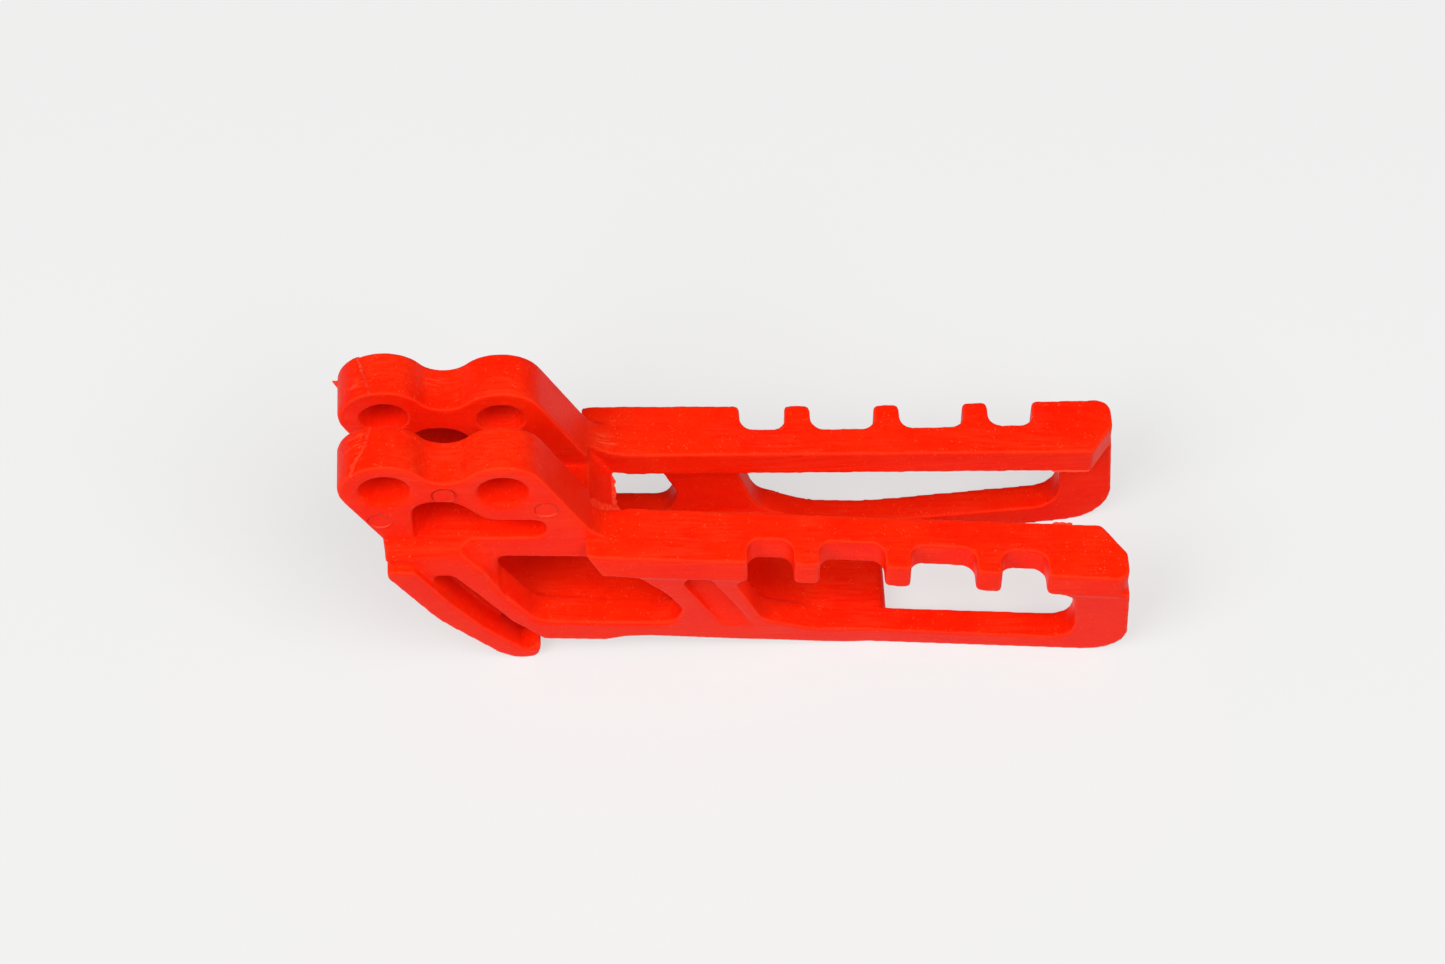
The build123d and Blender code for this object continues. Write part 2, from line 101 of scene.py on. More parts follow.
class NodeTree:
    """Short calls for adding and joining shader nodes in one tree."""

    column = 180.0

    def __init__(self, tree: bpy.types.NodeTree) -> None:
        """Keeps the tree and starts the layout at its left edge."""
        self.tree = tree
        self.count = 0

    def add(self, kind: str, **settings: object) -> bpy.types.Node:
        """Adds a node.

        Args:
            kind: the node's type name in Blender.
            settings: properties to set on the node.

        Returns:
            The new node.
        """
        node = self.tree.nodes.new(kind)
        node.location = (self.count * self.column, 0.0)
        self.count += 1
        for name, value in settings.items():
            setattr(node, name, value)
        return node

    def feed(self, socket: bpy.types.NodeSocket, value: object) -> None:
        """Links an output to an input, or sets a plain value on it.

        Args:
            socket: the input.
            value: an output socket or a plain value.
        """
        if isinstance(value, bpy.types.NodeSocket):
            self.tree.links.new(value, socket)
        else:
            socket.default_value = value

    def group(self, tree: bpy.types.NodeTree, values: dict[str, object]) -> bpy.types.Node:
        """Places a node group.

        Args:
            tree: the group.
            values: each input's name, with an output socket or a plain value.

        Returns:
            The group's node.
        """
        node = self.add("ShaderNodeGroup", node_tree=tree)
        for name, value in values.items():
            self.feed(node.inputs[name], value)
        return node

    def maths(self, operation: str, *values: object) -> bpy.types.NodeSocket:
        """Works through one value or more with Math nodes, two at a time.

        Args:
            operation: what the nodes work out.
            values: output sockets or numbers.

        Returns:
            The last node's output.
        """
        node = self.add("ShaderNodeMath", operation=operation)
        for socket, value in zip(node.inputs, values[:2]):
            self.feed(socket, value)
        if len(values) > 2:
            return self.maths(operation, node.outputs[0], *values[2:])
        return node.outputs[0]

    def ramp(self, value: object, ramp: Ramp) -> bpy.types.NodeSocket:
        """Adds a Map Range node.

        Args:
            value: what goes in.
            ramp: the range to map.

        Returns:
            The mapped value, clamped to the ramp.
        """
        node = self.add("ShaderNodeMapRange")
        for socket, item in zip(node.inputs, (value, ramp.low, ramp.high, ramp.start, ramp.end)):
            self.feed(socket, item)
        return node.outputs[0]

    def noise(self, vector: object, noise: Noise) -> bpy.types.NodeSocket:
        """Adds a Noise texture.

        Args:
            vector: the place to read it at.
            noise: its scale, detail and roughness.

        Returns:
            The texture's factor.
        """
        node = self.add("ShaderNodeTexNoise")
        self.feed(node.inputs["Vector"], vector)
        node.inputs["Scale"].default_value = noise.scale
        node.inputs["Detail"].default_value = noise.detail
        node.inputs["Roughness"].default_value = noise.roughness
        return node.outputs["Fac"]

    def stretch(self, vector: object, scales: Triple) -> bpy.types.NodeSocket:
        """Scales a vector along each axis.

        Args:
            vector: the vector.
            scales: one factor for each axis.

        Returns:
            The scaled vector.
        """
        node = self.add("ShaderNodeVectorMath", operation="MULTIPLY")
        self.feed(node.inputs[0], vector)
        node.inputs[1].default_value = scales
        return node.outputs[0]

    def mix(self, factor: object, first: object, second: object) -> bpy.types.NodeSocket:
        """Blends two colours.

        Args:
            factor: the second colour's share.
            first: the colour at 0.
            second: the colour at 1.

        Returns:
            The blended colour.
        """
        node = self.add("ShaderNodeMix", data_type="RGBA", blend_type="MIX")
        self.feed(node.inputs["Factor"], factor)
        self.feed(node.inputs[6], first)
        self.feed(node.inputs[7], second)
        return node.outputs[2]


def new_group(
    name: str, inputs: dict[str, str], outputs: tuple[str, ...]
) -> tuple[NodeTree, bpy.types.Node, bpy.types.Node]:
    """Makes a shader group with its sockets.

    Args:
        name: the group's name.
        inputs: each input's name and kind, Vector or Float.
        outputs: the names of the outputs, all of kind Float.

    Returns:
        The group's nodes, its input node and its output node.
    """
    tree = bpy.data.node_groups.new(name, "ShaderNodeTree")
    for socket, kind in inputs.items():
        tree.interface.new_socket(socket, in_out="INPUT", socket_type=f"NodeSocket{kind}")
    for socket in outputs:
        tree.interface.new_socket(socket, in_out="OUTPUT", socket_type="NodeSocketFloat")
    nodes = NodeTree(tree)
    return nodes, nodes.add("NodeGroupInput"), nodes.add("NodeGroupOutput")


@dataclass
class GrainEffect:
    """Orange peel, cloudy tone and pale specks of a moulded surface."""

    cloud: Noise = Noise(60.0, 3.0)
    patch: Noise = Noise(420.0, 3.0, 0.6)
    fine: Noise = Noise(2600.0, 2.0)
    cloud_share: float = 0.45
    patch_share: float = 0.25
    fine_share: float = 0.3
    peel: Noise = Noise(900.0, 3.0)
    speck_scale: float = 1500.0
    speck_edge: Ramp = Ramp(0.12, 0.34, 1.0, 0.0)
    speck_field: Noise = Noise(500.0, 2.0, 0.7)
    speck_presence: Ramp = Ramp(0.50, 0.64)
    grit_mm: float = 0.02
    speck_mm: float = 0.02

    def build(self) -> bpy.types.NodeTree:
        """Builds the group.

        Returns:
            A group with Tone, Specks and Height outputs; the height is in millimetres.
        """
        inputs = {"Vector": "Vector", "Peel": "Float", "Dust": "Float"}
        nodes, source, target = new_group("moulded_grain", inputs, ("Tone", "Specks", "Height"))
        vector = source.outputs["Vector"]
        cloud = nodes.maths("MULTIPLY", nodes.noise(vector, self.cloud), self.cloud_share)
        patch = nodes.maths("MULTIPLY", nodes.noise(vector, self.patch), self.patch_share)
        fine = nodes.noise(vector, self.fine)
        tone = nodes.maths("ADD", cloud, patch, nodes.maths("MULTIPLY", fine, self.fine_share))
        specks = self._specks(nodes, source)
        peel = nodes.maths("MULTIPLY", nodes.noise(vector, self.peel), source.outputs["Peel"])
        grit = nodes.maths("MULTIPLY", fine, self.grit_mm)
        grit = nodes.maths("ADD", grit, nodes.maths("MULTIPLY", specks, self.speck_mm))
        nodes.feed(target.inputs["Tone"], tone)
        nodes.feed(target.inputs["Specks"], specks)
        nodes.feed(target.inputs["Height"], nodes.maths("ADD", peel, grit))
        return nodes.tree

    def _specks(self, nodes: NodeTree, source: bpy.types.Node) -> bpy.types.NodeSocket:
        """Scatters specks of dust in some patches of the surface.

        Args:
            nodes: the group's nodes.
            source: the group's input node.

        Returns:
            The specks' mask, 0 to 1.
        """
        cells = nodes.add("ShaderNodeTexVoronoi", feature="F1")
        nodes.feed(cells.inputs["Vector"], source.outputs["Vector"])
        cells.inputs["Scale"].default_value = self.speck_scale
        near = nodes.ramp(cells.outputs["Distance"], self.speck_edge)
        rare = nodes.ramp(nodes.noise(source.outputs["Vector"], self.speck_field), self.speck_presence)
        return nodes.maths("MULTIPLY", near, rare, source.outputs["Dust"])


@dataclass
class DragEffect:
    """Fine lines along the guide, left by the mould, strong only in some patches."""

    line_scales: Triple = (45.0, 1500.0, 1500.0)
    line: Noise = Noise(1.0, 2.0)
    line_edge: Ramp = Ramp(0.38, 0.66)
    patch: Noise = Noise(75.0, 1.0)
    presence: Ramp = Ramp(0.42, 0.62, 0.15, 1.0)

    def build(self) -> bpy.types.NodeTree:
        """Builds the group.

        Returns:
            A group with a Lines output, 0 to 1.
        """
        nodes, source, target = new_group("drag_lines", {"Vector": "Vector"}, ("Lines",))
        vector = source.outputs["Vector"]
        lines = nodes.ramp(nodes.noise(nodes.stretch(vector, self.line_scales), self.line), self.line_edge)
        patch = nodes.ramp(nodes.noise(vector, self.patch), self.presence)
        nodes.feed(target.inputs["Lines"], nodes.maths("MULTIPLY", lines, patch))
        return nodes.tree


@dataclass
class ScuffEffect:
    """A patch of pale scratches along the guide and round its bosses: rubbed wear, on the near front boss
    with painted highlight.
    """

    scratch_scales: Triple = (260.0, 2400.0, 260.0)
    scratch: Noise = Noise(1.0, 3.0, 0.6)
    scratch_edge: Ramp = Ramp(0.50, 0.66)
    reach: Ramp = Ramp(0.35, 1.0, 1.0, 0.0)

    def build(self) -> bpy.types.NodeTree:
        """Builds the group.

        Returns:
            A group with a Mask output, 0 to 1.
        """
        inputs = {"Vector": "Vector", "Centre": "Vector", "Radius": "Float"}
        nodes, source, target = new_group("scuff_patch", inputs, ("Mask",))
        vector = source.outputs["Vector"]
        apart = nodes.add("ShaderNodeVectorMath", operation="DISTANCE")
        nodes.feed(apart.inputs[0], vector)
        nodes.feed(apart.inputs[1], source.outputs["Centre"])
        away = nodes.maths("DIVIDE", apart.outputs["Value"], source.outputs["Radius"])
        scratch = nodes.noise(nodes.stretch(vector, self.scratch_scales), self.scratch)
        scratch = nodes.ramp(scratch, self.scratch_edge)
        nodes.feed(target.inputs["Mask"], nodes.maths("MULTIPLY", scratch, nodes.ramp(away, self.reach)))
        return nodes.tree


@dataclass
class PinEffect:
    """One ejector pin's round mark on the outer faces of the ears."""

    wobble: Noise = Noise(420.0, 2.0)
    wobble_size: float = 0.5 * MM
    face_depth: float = 0.6 * MM
    dish: Ramp = Ramp(0.93, 1.05, 1.0, 0.0)
    lip_rise: Ramp = Ramp(1.0, 1.08)
    lip_fall: Ramp = Ramp(1.10, 1.24, 1.0, 0.0)
    lip_share: float = 0.35
    rim_rise: Ramp = Ramp(0.86, 0.98)
    rim_fall: Ramp = Ramp(1.02, 1.12, 1.0, 0.0)
    low_side: Ramp = Ramp(-0.35, -0.85)

    def build(self) -> bpy.types.NodeTree:
        """Builds the group.

        Returns:
            A group with Height in millimetres and a 0 to 1 mask of painted highlight on the mark's lower
            rim.
        """
        inputs = {"Vector": "Vector"}
        inputs |= dict.fromkeys(("Centre X", "Centre Z", "Radius", "Face", "Depth"), "Float")
        nodes, source, target = new_group("pin_mark", inputs, ("Height", "Rim Highlight"))
        vector = source.outputs["Vector"]
        place = nodes.add("ShaderNodeSeparateXYZ")
        nodes.feed(place.inputs[0], vector)
        across = nodes.maths("SUBTRACT", place.outputs["X"], source.outputs["Centre X"])
        rise = nodes.maths("SUBTRACT", place.outputs["Z"], source.outputs["Centre Z"])
        squares = [nodes.maths("MULTIPLY", reach, reach) for reach in (across, rise)]
        wobble = nodes.maths("MULTIPLY", nodes.noise(vector, self.wobble), self.wobble_size)
        away = nodes.maths("ADD", nodes.maths("SQRT", nodes.maths("ADD", *squares)), wobble)
        out = nodes.maths("DIVIDE", away, source.outputs["Radius"])
        level = nodes.maths("SUBTRACT", source.outputs["Face"], self.face_depth)
        on_face = nodes.maths("GREATER_THAN", nodes.maths("ABSOLUTE", place.outputs["Y"]), level)
        dish = nodes.maths("MULTIPLY", nodes.ramp(out, self.dish), on_face)
        lip = nodes.maths("MULTIPLY", nodes.ramp(out, self.lip_rise), nodes.ramp(out, self.lip_fall))
        height = nodes.maths("SUBTRACT", nodes.maths("MULTIPLY", lip, self.lip_share), dish)
        height = nodes.maths("MULTIPLY", height, source.outputs["Depth"], on_face)
        # Painted highlight: a pale arc on the lower side of the mark's rim only.
        rim = nodes.maths("MULTIPLY", nodes.ramp(out, self.rim_rise), nodes.ramp(out, self.rim_fall))
        low = nodes.ramp(nodes.maths("DIVIDE", rise, away), self.low_side)
        nodes.feed(target.inputs["Height"], height)
        nodes.feed(target.inputs["Rim Highlight"], nodes.maths("MULTIPLY", rim, low, on_face))
        return nodes.tree


class ShopEffects:
    """Node groups that the guide's plastic finishes share."""

    def __init__(self) -> None:
        """Builds each group once."""
        self.grain = GrainEffect().build()
        self.drag = DragEffect().build()
        self.pin = PinEffect().build()
        self.scuff = ScuffEffect().build()


@dataclass(frozen=True)
class PinMark:
    """Where an ejector pin pressed both ears, in metres, and how deep, in millimetres."""

    x: float
    z: float
    depth_mm: float
    radius: float = 2.65 * MM
    face: float = EAR_OUTER

    def sockets(self) -> dict[str, float]:
        """The mark's values by the names of its group's inputs."""
        values = (self.x, self.z, self.radius, self.face, self.depth_mm)
        return dict(zip(("Centre X", "Centre Z", "Radius", "Face", "Depth"), values))


@dataclass(frozen=True)
class Scuff:
    """Where the plastic was rubbed, with painted highlight on the near front boss: the patch's centre and
    reach in metres.
    """

    centre: Triple
    radius: float

    def sockets(self) -> dict[str, object]:
        """The patch's values by the names of its group's inputs."""
        return {"Centre": self.centre, "Radius": self.radius}


PIN_MARKS = (
    PinMark(12.0 * MM, -2.0 * MM, 0.45),
    PinMark(32.7 * MM, -8.8 * MM, 0.22),
    PinMark(-1.6 * MM, -10.5 * MM, 0.20),
)
SCUFF_AND_HIGHLIGHT_PATCHES = (
    # Near front boss: rubbed scratches under a painted highlight.
    Scuff((-5.3 * MM, -7.0 * MM, 7.5 * MM), 3.6 * MM),
    Scuff((-4.6 * MM, 7.5 * MM, 8.0 * MM), 3.2 * MM),
    Scuff((11.0 * MM, 10.5 * MM, 4.6 * MM), 4.2 * MM),
    Scuff((45.0 * MM, 9.0 * MM, -20.5 * MM), 4.5 * MM),
    Scuff((152.0 * MM, 12.5 * MM, -34.5 * MM), 4.0 * MM),
)


@dataclass(frozen=True)
class MouldedPlastic:
    """Satin moulded plastic, paler where it is worn, scuffed, dusty or lined, and where highlight is
    painted.

    The colours are linear RGB and the relief heights millimetres. A share is how far that wear or
    painted highlight turns the body's colour to the pale one; on the rims it is painted highlight.
    """

    name: str
    colour: Colour
    deep_colour: Colour
    pale_colour: Colour
    roughness: float
    peel_mm: float
    dust: float
    lines_mm: float = 0.0
    rim_highlight_share: float = 0.0
    marks: tuple[PinMark, ...] = ()
    scuff_and_highlight_patches: tuple[Scuff, ...] = ()
    speck_share: float = 0.8
    line_share: float = 0.16
    scuff_and_highlight_share: float = 0.9
    rim_highlight_edge: Ramp = Ramp(0.25, 0.95)
    tone_edge: Ramp = Ramp(0.35, 0.65)
    rough_tone: tuple[float, float] = (0.3, 0.7)
    rough_swing: tuple[float, float] = (-0.05, 0.06)
    specular: float = 0.07
    specular_tint: Colour = (1.0, 0.32, 0.12, 1.0)

    def build(self, effects: ShopEffects) -> bpy.types.Material:
        """Makes the material.

        Args:
            effects: the shared node groups.

        Returns:
            The finished material.
        """
        material = bpy.data.materials.new(self.name)
        material.use_nodes = True
        nodes = NodeTree(material.node_tree)
        shader = material.node_tree.nodes["Principled BSDF"]
        place = nodes.add("ShaderNodeTexCoord").outputs["Object"]
        grain = nodes.group(effects.grain, {"Vector": place, "Peel": self.peel_mm, "Dust": self.dust})
        lines = nodes.group(effects.drag, {"Vector": place}).outputs["Lines"]
        pins = [nodes.group(effects.pin, {"Vector": place, **mark.sockets()}) for mark in self.marks]
        scuff_and_highlight_patches = [nodes.group(effects.scuff, {"Vector": place, **scuff.sockets()}) for scuff in self.scuff_and_highlight_patches]
        rim = nodes.add("ShaderNodeAttribute", attribute_name=RIM_LAYER).outputs["Fac"]
        # Painted highlight: the skin's sharp rims are turned toward the pale colour, standing in for light
        # caught on the edges.
        wear_and_highlight = [nodes.maths("MULTIPLY", nodes.ramp(rim, self.rim_highlight_edge), self.rim_highlight_share)]
        # Painted highlight on the lower rim of each ejector pin mark.
        wear_and_highlight += [pin.outputs["Rim Highlight"] for pin in pins]
        # Pale scratched patches: rubbed wear, and on the near front boss also a painted highlight.
        wear_and_highlight += [nodes.maths("MULTIPLY", scuff.outputs["Mask"], self.scuff_and_highlight_share) for scuff in scuff_and_highlight_patches]
        wear_and_highlight.append(nodes.maths("MULTIPLY", grain.outputs["Specks"], self.speck_share))
        wear_and_highlight.append(nodes.maths("MULTIPLY", lines, self.line_share))
        cloudy = nodes.mix(nodes.ramp(grain.outputs["Tone"], self.tone_edge), self.deep_colour, self.colour)
        worn_and_highlit = nodes.mix(nodes.maths("MAXIMUM", *wear_and_highlight), cloudy, self.pale_colour)
        nodes.feed(shader.inputs["Base Color"], worn_and_highlit)
        smoother, rougher = (self.roughness + swing for swing in self.rough_swing)
        rough = nodes.ramp(grain.outputs["Tone"], Ramp(*self.rough_tone, smoother, rougher))
        nodes.feed(shader.inputs["Roughness"], rough)
        shader.inputs["Specular IOR Level"].default_value = self.specular
        shader.inputs["Specular Tint"].default_value = self.specular_tint
        relief = [grain.outputs["Height"], nodes.maths("MULTIPLY", lines, self.lines_mm)]
        relief += [pin.outputs["Height"] for pin in pins]
        bump = nodes.add("ShaderNodeBump")
        bump.inputs["Distance"].default_value = MM
        nodes.feed(bump.inputs["Height"], nodes.maths("ADD", *relief))
        nodes.feed(shader.inputs["Normal"], bump.outputs["Normal"])
        return material


GUIDE_RED = MouldedPlastic(
    name="guide_red_plastic",
    colour=(0.93, 0.0200, 0.0012, 1.0),
    deep_colour=(0.87, 0.0065, 0.0005, 1.0),
    pale_colour=(0.92, 0.085, 0.030, 1.0),
    roughness=0.42,
    peel_mm=0.065,
    dust=1.0,
    lines_mm=0.018,
    # Painted highlight on the skin's sharp rims.
    rim_highlight_share=0.20,
    marks=PIN_MARKS,
    scuff_and_highlight_patches=SCUFF_AND_HIGHLIGHT_PATCHES,
)
FLASH_RED = MouldedPlastic(
    name="torn_flash_plastic",
    colour=(0.88, 0.050, 0.018, 1.0),
    deep_colour=(0.84, 0.022, 0.005, 1.0),
    pale_colour=(1.0, 0.25, 0.16, 1.0),
    roughness=0.5,
    peel_mm=0.05,
    dust=0.6,
)


def link(name: str, mesh: bpy.types.Mesh) -> bpy.types.Object:
    """Puts a mesh in the scene as an object at the origin.

    Args:
        name: the object's name.
        mesh: its mesh.

    Returns:
        The object.
    """
    piece = bpy.data.objects.new(name, mesh)
    bpy.context.scene.collection.objects.link(piece)
    return piece


def worked(piece: bpy.types.Object, kind: str, **settings: object) -> bpy.types.Mesh:
    """Works one modifier into a piece's mesh.

    Args:
        piece: the piece.
        kind: the modifier's type.
        settings: properties to set on the modifier.

    Returns:
        The piece's new mesh.
    """
    modifier = piece.modifiers.new(kind.lower(), kind)
    for name, value in settings.items():
        setattr(modifier, name, value)
    graph = bpy.context.evaluated_depsgraph_get()
    mesh = bpy.data.meshes.new_from_object(piece.evaluated_get(graph), depsgraph=graph)
    piece.modifiers.clear()
    piece.data = mesh
    return mesh


def vertex_array(mesh: bpy.types.Mesh, name: str = "co") -> np.ndarray:
    """Reads the places or normals of a mesh's points.

    Args:
        mesh: the mesh.
        name: co for places or normal for normals.

    Returns:
        One row of three numbers for each point.
    """
    values = np.empty(len(mesh.vertices) * 3, np.float32)
    mesh.vertices.foreach_get(name, values)
    return values.reshape(-1, 3).astype(float)


@dataclass(frozen=True)
class BossSeam:
    """The seam over one ear's front boss, where the mould halves met; turns are degrees from +X."""

    side: Side
    last_turn: float
    bend: float
    seed: int
    first_turn: float = 104.0
    sway: float = 0.9
    sway_rate: float = 11.0

    def turn(self, out: np.ndarray) -> np.ndarray:
        """How far round the boss the seam lies.

        Args:
            out: distances from the mid-plane, in metres.

        Returns:
            The seam's turn at each distance.
        """
        share = np.clip((out - EAR_INNER) / (EAR_OUTER - EAR_INNER), 0.0, 1.0)
        course = self.first_turn + (self.last_turn - self.first_turn) * share**self.bend
        return course + self.sway * np.sin(share * self.sway_rate)


NEAR_SEAM = BossSeam(side=Side.NEAR, last_turn=137.0, bend=1.5, seed=10)
FAR_SEAM = BossSeam(side=Side.FAR, last_turn=124.0, bend=1.0, seed=12)


@dataclass
class GuideMoulding:
    """The one-piece body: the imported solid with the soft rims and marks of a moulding.

    The crest is a line of x and z in millimetres; the seam step's turns are degrees from +X.
    """

    weld_distance: float = 0.001 * MM
    voxel: float = 0.30 * MM
    soften_share: float = 0.5
    soften_rounds: int = 18
    rim_travel: float = 0.12 * MM
    triangle_budget: int = 192_000
    crest: tuple[tuple[float, float], ...] = (
        (14.0, -18.6),
        (19.4, -28.0),
        (21.6, -34.5),
        (29.4, -49.2),
        (56.0, -51.5),
    )
    crest_rounds: int = 70
    crest_reach: float = 2.2 * MM
    crest_out: float = 13.2 * MM
    crest_fade: float = 1.0 * MM
    least_weight: float = 0.01
    step_height: float = 0.42 * MM
    step_band: float = 0.9 * MM
    step_rise: float = 1.5
    step_end: tuple[float, float] = (172.0, 200.0)

    def build(self, material: bpy.types.Material) -> bpy.types.Object:
        """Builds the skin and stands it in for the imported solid.

        Args:
            material: the plastic to dress it in.

        Returns:
            The finished piece.
        """
        piece = link("guide_moulding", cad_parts[GUIDE_NODE].data.copy())
        self._weld(piece.data)
        before = vertex_array(worked(piece, "REMESH", mode="VOXEL", voxel_size=self.voxel))
        soft = worked(piece, "SMOOTH", factor=self.soften_share, iterations=self.soften_rounds)
        rim = self._rims(soft, before)
        soft = self._soften_crest(piece)
        self._seam_step(soft)
        places = vertex_array(soft)
        soft.calc_loop_triangles()
        mesh = worked(piece, "DECIMATE", ratio=min(1.0, self.triangle_budget / len(soft.loop_triangles)))
        self._carry(mesh, places, rim)
        mesh.materials.clear()
        mesh.materials.append(material)
        mesh.shade_smooth()
        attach(piece, BODY)
        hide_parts(GUIDE_NODE)
        return piece

    def _weld(self, mesh: bpy.types.Mesh) -> None:
        """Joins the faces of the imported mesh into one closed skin.

        Args:
            mesh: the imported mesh.
        """
        shape = bmesh.new()
        shape.from_mesh(mesh)
        bmesh.ops.remove_doubles(shape, verts=shape.verts, dist=self.weld_distance)
        shape.to_mesh(mesh)
        shape.free()

    def _rims(self, mesh: bpy.types.Mesh, before: np.ndarray) -> np.ndarray:
        """How far each point stood proud before it was softened, 0 on flats to 1 on sharp rims."""
        moved = ((before - vertex_array(mesh)) * vertex_array(mesh, "normal")).sum(1)
        return np.clip(moved / self.rim_travel, 0.0, 1.0)

    def _soften_crest(self, piece: bpy.types.Object) -> bpy.types.Mesh:
        """Rounds the crest that runs from the ledge down along the front window.

        Args:
            piece: the skin.

        Returns:
            The skin's new mesh.
        """
        places = vertex_array(piece.data)
        away = np.full(len(places), np.inf)
        for start, end in zip(self.crest, self.crest[1:]):
            first, leg = np.array(start) * MM, (np.array(end) - np.array(start)) * MM
            offset = places[:, [0, 2]] - first
            share = np.clip(offset @ leg / (leg @ leg), 0.0, 1.0)
            away = np.minimum(away, np.linalg.norm(offset - share[:, None] * leg, axis=1))
        weight = np.clip(2.0 - away / self.crest_reach, 0.0, 1.0)
        weight *= np.clip((np.abs(places[:, 1]) - self.crest_out) / self.crest_fade, 0.0, 1.0)
        group = piece.vertex_groups.new(name="crest")
        for index in np.flatnonzero(weight > self.least_weight):
            group.add([int(index)], float(weight[index]), "REPLACE")
        rounds = {"factor": self.soften_share, "iterations": self.crest_rounds}
        mesh = worked(piece, "SMOOTH", vertex_group=group.name, **rounds)
        piece.vertex_groups.clear()
        return mesh

    def _seam_step(self, mesh: bpy.types.Mesh) -> None:
        """Raises the front boss ahead of its seam, where the mould halves met unevenly.

        Args:
            mesh: the skin's mesh, which is changed.
        """
        places, normals = vertex_array(mesh), vertex_array(mesh, "normal")
        turn = np.degrees(np.arctan2(places[:, 2], places[:, 0])) % 360.0
        away = np.hypot(places[:, 0], places[:, 2])
        out = np.abs(places[:, 1])
        seam = np.where(places[:, 1] < 0.0, NEAR_SEAM.turn(out), FAR_SEAM.turn(out))
        first, last = self.step_end
        share = np.clip((turn - seam) / self.step_rise, 0.0, 1.0)
        share *= np.clip((last - turn) / (last - first), 0.0, 1.0)
        share *= np.abs(away - BOSS_RADIUS) < self.step_band
        facing = normals[:, 0] * np.cos(np.radians(turn)) + normals[:, 2] * np.sin(np.radians(turn))
        share *= np.clip(facing, 0.0, 1.0)
        mesh.vertices.foreach_set("co", (places + normals * (share * self.step_height)[:, None]).ravel())
        mesh.update()

    def _carry(self, mesh: bpy.types.Mesh, places: np.ndarray, rim: np.ndarray) -> None:
        """Gives the reduced mesh the rim value of the nearest full point.

        Args:
            mesh: the reduced mesh.
            places: the full mesh's points.
            rim: their rim values.
        """
        tree = KDTree(len(places))
        for index, place in enumerate(places):
            tree.insert(place, index)
        tree.balance()
        values = [rim[tree.find(vertex.co)[1]] for vertex in mesh.vertices]
        mesh.attributes.new(RIM_LAYER, "FLOAT", "POINT").data.foreach_set("value", values)


def dressed_flash(name: str, mesh: bpy.types.Mesh, material: bpy.types.Material) -> bpy.types.Object:
    """Turns the faces outwards, dresses a bit of flash and sets it on the guide.

    Args:
        name: the piece's name.
        mesh: its closed mesh.
        material: its plastic.

    Returns:
        The finished piece.
    """
    shape = bmesh.new()
    shape.from_mesh(mesh)
    bmesh.ops.recalc_face_normals(shape, faces=shape.faces)
    shape.to_mesh(mesh)
    shape.free()
    mesh.materials.append(material)
    piece = link(name, mesh)
    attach(piece, BODY)
    return piece


@dataclass
class FlashStrip:
    """Thin torn flash that stands along a line on the moulding.

    The path and the sizes are in metres, and outward points away from the plastic. The torn edge
    swings about its usual share of the height.
    """

    name: str
    path: list[Vector]
    outward: list[Vector]
    height: float
    thickness: float
    wander: float
    seed: int
    root: float = 0.3 * MM
    step: float = 0.35 * MM
    usual_share: float = 0.65
    swing: float = 0.32
    share_range: tuple[float, float] = (0.15, 1.2)
    edge_blur: Triple = (0.3, 0.4, 0.3)
    sway_span: int = 5
    lean: float = 0.15
    fade_share: float = 0.125
    end_share: float = 0.1

    def build(self, material: bpy.types.Material) -> bpy.types.Object:
        """Builds the strip as a closed wedge that rides on the moulding.

        Args:
            material: the flash's plastic.

        Returns:
            The finished piece.
        """
        rng = np.random.default_rng(self.seed)
        points, lifts = self._resampled()
        count = len(points)
        uneven = np.convolve(rng.normal(0.0, 1.0, count + len(self.edge_blur) - 1), self.edge_blur, "valid")
        ragged = np.clip(self.usual_share + self.swing * uneven, *self.share_range) * self._fade(count)
        even = np.ones(self.sway_span) / self.sway_span
        sway = np.convolve(rng.normal(0.0, 1.0, count + self.sway_span - 1), even, "valid") * self.wander
        vertices, faces = [], []
        for index, (point, lift) in enumerate(zip(points, lifts)):
            ahead = points[min(index + 1, count - 1)] - points[max(index - 1, 0)]
            beside = ahead.cross(lift).normalized()
            base = point + beside * sway[index] - lift * self.root
            half = beside * self.thickness / 2
            tip = base + lift * (self.root + self.height * ragged[index])
            tip += beside * rng.normal(0.0, self.lean) * self.thickness
            vertices += [base - half, base + half, tip]
        for index in range(count - 1):
            near, far = 3 * index, 3 * index + 3
            for first, second in ((0, 1), (1, 2), (2, 0)):
                faces.append((near + first, near + second, far + second, far + first))
        faces += [(2, 1, 0), (3 * count - 3, 3 * count - 2, 3 * count - 1)]
        mesh = bpy.data.meshes.new(self.name)
        mesh.from_pydata(vertices, [], faces)
        return dressed_flash(self.name, mesh, material)

    def _resampled(self) -> tuple[list[Vector], list[Vector]]:
        """Splits each leg of the path into short even steps.

        Returns:
            The points and the way that the flash stands at each.
        """
        points, lifts = [self.path[0]], [self.outward[0].normalized()]
        for leg in range(len(self.path) - 1):
            start, end = self.path[leg], self.path[leg + 1]
            parts = max(1, round((end - start).length / self.step))
            for part in range(1, parts + 1):
                share = part / parts
                points.append(start.lerp(end, share))
                lifts.append(self.outward[leg].lerp(self.outward[leg + 1], share).normalized())
        return points, lifts

    def _fade(self, count: int) -> np.ndarray:
        """How much of its height each of the strip's points keeps, so that it runs out at both ends."""
        place = np.linspace(0.0, 1.0, count)
        return np.clip(np.minimum(place, 1.0 - place) / self.fade_share, self.end_share, 1.0)


